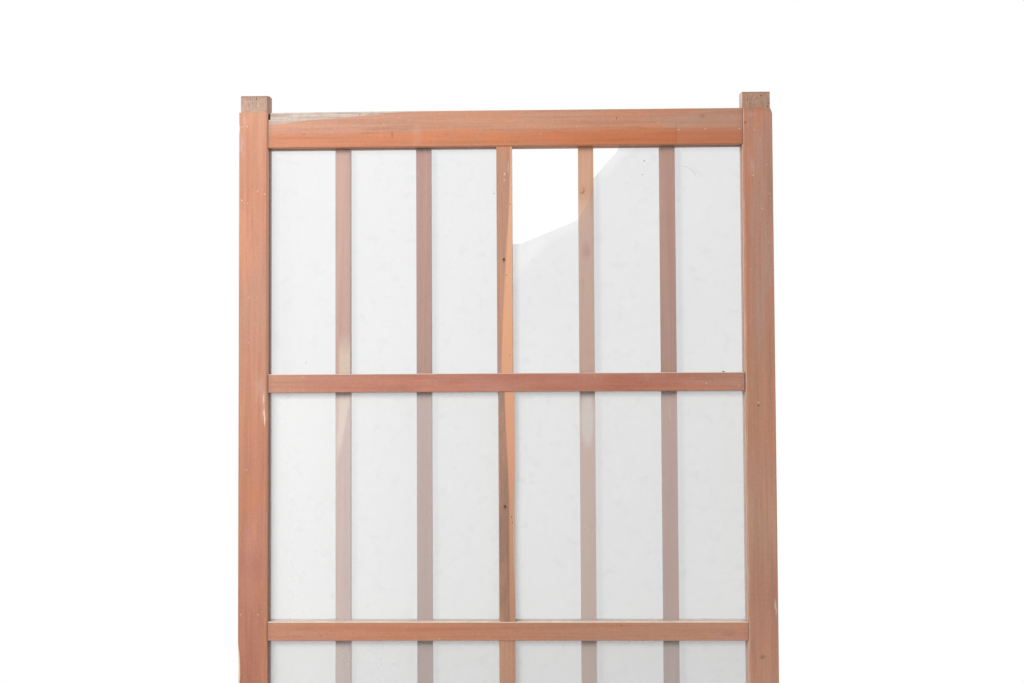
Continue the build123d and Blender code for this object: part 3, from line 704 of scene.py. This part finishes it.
print("finishes")
finishes = {
    "left_stile": Timber("leftStileWood", "z", leftStileLook, 1.1).material,
    "right_stile": Timber("rightStileWood", "z", rightStileLook, 4.7).material,
    "top_rail": Timber("topRailWood", "x", topRailLook, 2.3).material,
    "mid_rail": Timber("midRailWood", "x", midRailLook, 7.9).material,
    "upper_mid_rail": Timber("upperMidRailWood", "x", upperMidRailLook, 6.1).material,
    "bottom_rail": Timber("bottomRailWood", "x", bottomRailLook, 5.3).material,
    "lattice_bar": Timber("barWood", "z", barLook, 3.1).material,
    "cover_strip": Timber("stripWood", "z", stripLook, 8.3).material,
    "nail": wornMetal("rustyNail", srgb(110, 92, 82), srgb(92, 52, 34), 0.5, 0.4, 900.0),
    "case": wornMetal("pressedSteel", srgb(150, 148, 144), srgb(96, 72, 56), 0.42, 0.56),
    "wheel": wornMetal("turnedBrass", srgb(186, 152, 88), srgb(104, 82, 52), 0.34, 0.58, 200.0),
    "axle": wornMetal("axleSteel", srgb(160, 158, 154), srgb(92, 76, 64), 0.3, 0.62, 400.0),
    "screw": wornMetal("screwSteel", srgb(148, 144, 138), srgb(98, 70, 52), 0.45, 0.5, 500.0),
    "dirt": driedDirt("driedDirt"),
}
for row in (1, 2, 3, 4):
    finishes[f"glass{row}"] = frostedGlass(row)

finishStarts = (
    ("cover_strip_nails", "nail"), ("cover_strip", "cover_strip"), ("lattice_bar", "lattice_bar"),
    ("roller_case", "case"), ("roller_wheel", "wheel"), ("roller_axle", "axle"), ("roller_screws", "screw"),
)


def finishOf(name):  # which finish a CAD node takes
    if name.startswith("glass_pane"):
        return finishes["glass" + name.split("_")[2]]
    for start, key in finishStarts:
        if name.startswith(start):
            return finishes[key]
    return finishes[name if name in finishes else "mid_rail"]


for name, cadNode in cadNodes.items():
    for slot in cadNode.material_slots:
        slot.material = finishOf(name)
    if name.startswith("glass_pane"):
        cadNode.visible_shadow = False  # frosted glass passes nearly all the light on to the bars behind it


def deselectAll():
    bpy.ops.object.select_all(action="DESELECT")


def makeActive(piece):
    deselectAll()
    piece.select_set(True)
    bpy.context.view_layer.objects.active = piece


def joinPieces(pieces, name):
    deselectAll()
    for piece in pieces:
        piece.select_set(True)
    bpy.context.view_layer.objects.active = pieces[0]
    bpy.ops.object.join()
    joined = bpy.context.object
    joined.name = name
    bpy.ops.object.transform_apply(location=True, rotation=True, scale=True)
    return joined


def finishPiece(piece, material, replaced=()):
    piece.data.materials.clear()
    piece.data.materials.append(material)
    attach(piece, "leaf")
    if replaced:
        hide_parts(*replaced)


nailLook = {"headRadius": 0.00165, "headThickness": 0.0006, "dome": 0.00035, "shankRadius": 0.0009, "shankLength": 0.0200}


def drivenNail(level):  # an old nail with a low domed head, its rim beaten uneven, on a round shank
    headY = leafPlaces["stripFront"] + nailLook["headThickness"] / 2
    deselectAll()
    bpy.ops.mesh.primitive_cylinder_add(
        vertices=20, radius=nailLook["headRadius"], depth=nailLook["headThickness"],
        location=(leafPlaces["nailX"], headY, level), rotation=(radians(90), 0, 0),
    )
    head = bpy.context.object
    bpy.ops.object.mode_set(mode="EDIT")
    bpy.ops.mesh.select_all(action="DESELECT")
    bpy.ops.object.mode_set(mode="OBJECT")
    for face in head.data.polygons:
        face.select = face.normal.z > 0.9  # the primitive's own top, which is turned to the front
    bpy.ops.object.mode_set(mode="EDIT")
    bpy.ops.mesh.inset(thickness=nailLook["headRadius"] * 0.35)
    bpy.ops.transform.translate(value=(0, -nailLook["dome"] * 0.6, 0))
    bpy.ops.mesh.inset(thickness=nailLook["headRadius"] * 0.35)
    bpy.ops.transform.translate(value=(0, -nailLook["dome"] * 0.4, 0))
    bpy.ops.mesh.select_all(action="SELECT")
    bpy.ops.transform.vertex_random(offset=0.00008, seed=round(level * 1000) % 97)
    bpy.ops.object.mode_set(mode="OBJECT")
    bpy.ops.mesh.primitive_cylinder_add(
        vertices=12, radius=nailLook["shankRadius"], depth=nailLook["shankLength"],
        location=(leafPlaces["nailX"], headY + nailLook["shankLength"] / 2, level), rotation=(radians(90), 0, 0),
    )
    shank = bpy.context.object
    bpy.ops.object.mode_set(mode="EDIT")
    bpy.ops.mesh.select_all(action="DESELECT")
    bpy.ops.object.mode_set(mode="OBJECT")
    for face in shank.data.polygons:
        face.select = face.normal.z < -0.9  # its far end, with a smaller face inset in it
    bpy.ops.object.mode_set(mode="EDIT")
    bpy.ops.mesh.inset(thickness=nailLook["shankRadius"] * 0.6)
    bpy.ops.object.mode_set(mode="OBJECT")
    return [head, shank]


print("nails")
nailParts = [part for level in leafPlaces["nailLevels"] for part in drivenNail(level)]
finishPiece(joinPieces(nailParts, "cover_strip_nails_driven"), finishes["nail"], ["cover_strip_nails"])

crumbLook = {"place": (0.3568, -0.0085, 1.3108), "radius": 0.0016, "squash": (1.2, 0.9, 0.6), "seed": 5}
print("crumb of dirt on the upper mid rail")
deselectAll()
bpy.ops.mesh.primitive_ico_sphere_add(subdivisions=3, radius=crumbLook["radius"], location=crumbLook["place"])
crumb = bpy.context.object
crumb.name = "rail_crumb"
crumb.scale = crumbLook["squash"]
bpy.ops.object.mode_set(mode="EDIT")
bpy.ops.mesh.select_all(action="SELECT")
bpy.ops.transform.vertex_random(offset=0.00022, seed=crumbLook["seed"])
bpy.ops.object.mode_set(mode="OBJECT")
bpy.ops.object.transform_apply(location=True, rotation=True, scale=True)
finishPiece(crumb, finishes["dirt"])

easedLook = {  # how far the edges of each kind of timber are worn round
    "lattice_bar": 0.0007, "cover_strip": 0.0006, "mid_rail": 0.0006, "bottom_rail": 0.0008,
}


boredTimbers = ("cover_strip", "lattice_bar_3", "bottom_rail")  # round holes leave slivers in their flat faces


def wornTimber(name, width):  # a copy of a timber with the edges of its front and back eased
    source = cadNodes[name]
    piece = bpy.data.objects.new(name + "_worn", source.data.copy())
    bpy.context.collection.objects.link(piece)
    makeActive(piece)
    bpy.ops.object.mode_set(mode="EDIT")
    bpy.ops.mesh.select_all(action="SELECT")
    bpy.ops.mesh.remove_doubles(threshold=0.000005)
    if name.startswith(boredTimbers):
        bpy.ops.mesh.dissolve_limited(angle_limit=radians(1.0))
    else:
        bpy.ops.mesh.tris_convert_to_quads(face_threshold=radians(1.0), shape_threshold=radians(40.0))
    bpy.ops.mesh.select_all(action="DESELECT")
    bpy.ops.mesh.select_mode(type="EDGE")
    bpy.ops.mesh.edges_select_sharp(sharpness=radians(50))
    bpy.ops.object.mode_set(mode="OBJECT")
    depths = [corner.co.y for corner in piece.data.vertices]
    for edge in piece.data.edges:
        ends = [depths[corner] for corner in edge.vertices]
        outer = [max(abs(end - side) for end in ends) < 0.00002 for side in (min(depths), max(depths))]
        edge.select = edge.select and any(outer)
    bpy.ops.object.mode_set(mode="EDIT")
    bpy.ops.mesh.bevel(offset=width, segments=2, affect="EDGES", clamp_overlap=True)
    bpy.ops.object.mode_set(mode="OBJECT")
    return piece


print("timbers with worn edges")
for name in [node for node in cadNodes if node != "cover_strip_nails"]:
    for kind, width in easedLook.items():
        if kind in name:
            finishPiece(wornTimber(name, width), finishOf(name), [name])

print("floor and light")
stageLook = {
    "floor": srgb(226, 226, 224), "floorMottle": srgb(230, 230, 229), "floorRadius": 7.0,
    "ambient": 0.46, "keyPower": 40.0, "backPower": 22.0, "fadeFrom": 1.1, "fadeTo": 2.3,
}
deselectAll()
bpy.ops.mesh.primitive_circle_add(vertices=96, radius=stageLook["floorRadius"], fill_type="NGON", location=(0, 0, 0))
floor = bpy.context.object
floor.name = "studioFloor"
paint = Finish("studioFloorPaint", 0.9)
mottle = paint.noise(paint.place, 3.0, 3.0, 0.5)
paint.give(Base_Color=paint.blend(mottle, stageLook["floor"], stageLook["floorMottle"]))
reach = paint.node("ShaderNodeVectorMath", {"operation": "LENGTH"}, {0: paint.place}, 1)
glowLevel = paint.seenPlainly() * (1 - stageLook["ambient"]) + stageLook["ambient"]
glow = paint.node("ShaderNodeEmission", {}, {"Strength": glowLevel})
lit = Signal(paint, paint.shader.outputs[0])
fading = {0: paint.rise(reach, stageLook["fadeFrom"], stageLook["fadeTo"]), 1: lit, 2: glow}
paint.feed(paint.tree.nodes["Material Output"].inputs["Surface"], paint.node("ShaderNodeMixShader", {}, fading))
floor.data.materials.append(paint.material)

world = bpy.data.worlds.new("studioWorld")
bpy.context.scene.world = world
world.use_nodes = True
sky = NodeTree(world.node_tree)
skyLevel = sky.seenPlainly() * (1 - stageLook["ambient"]) + stageLook["ambient"]
whiteSky = sky.node("ShaderNodeBackground", {}, {"Color": (1.0, 1.0, 1.0), "Strength": skyLevel})
sky.feed(sky.tree.nodes["World Output"].inputs["Surface"], whiteSky)


def softLamp(name, place, target, size, power):
    bpy.ops.object.light_add(type="AREA", location=place)
    lamp = bpy.context.object
    lamp.name = name
    lamp.data.shape = "DISK"
    lamp.data.size = size
    lamp.data.energy = power
    lamp.rotation_euler = (Vector(target) - Vector(place)).to_track_quat("-Z", "Y").to_euler()


softLamp("keyLamp", (-1.25, -1.75, 2.35), (0.0, 0.0, 1.2), 1.3, stageLook["keyPower"])
softLamp("backLamp", (1.5, 2.2, 2.1), (0.0, 0.0, 1.0), 1.5, stageLook["backPower"])

print("camera")
cameraLook = {"place": (0.0524, -1.9150, 1.3008), "turn": (91.840, 0.290, 1.266), "lens": 40.75, "sensor": 36.0}
bpy.ops.object.camera_add(location=cameraLook["place"], rotation=[radians(angle) for angle in cameraLook["turn"]])
camera = bpy.context.object
camera.data.sensor_width = cameraLook["sensor"]
camera.data.lens = cameraLook["lens"]
bpy.context.scene.camera = camera
bpy.context.scene.view_settings.view_transform = "Standard"
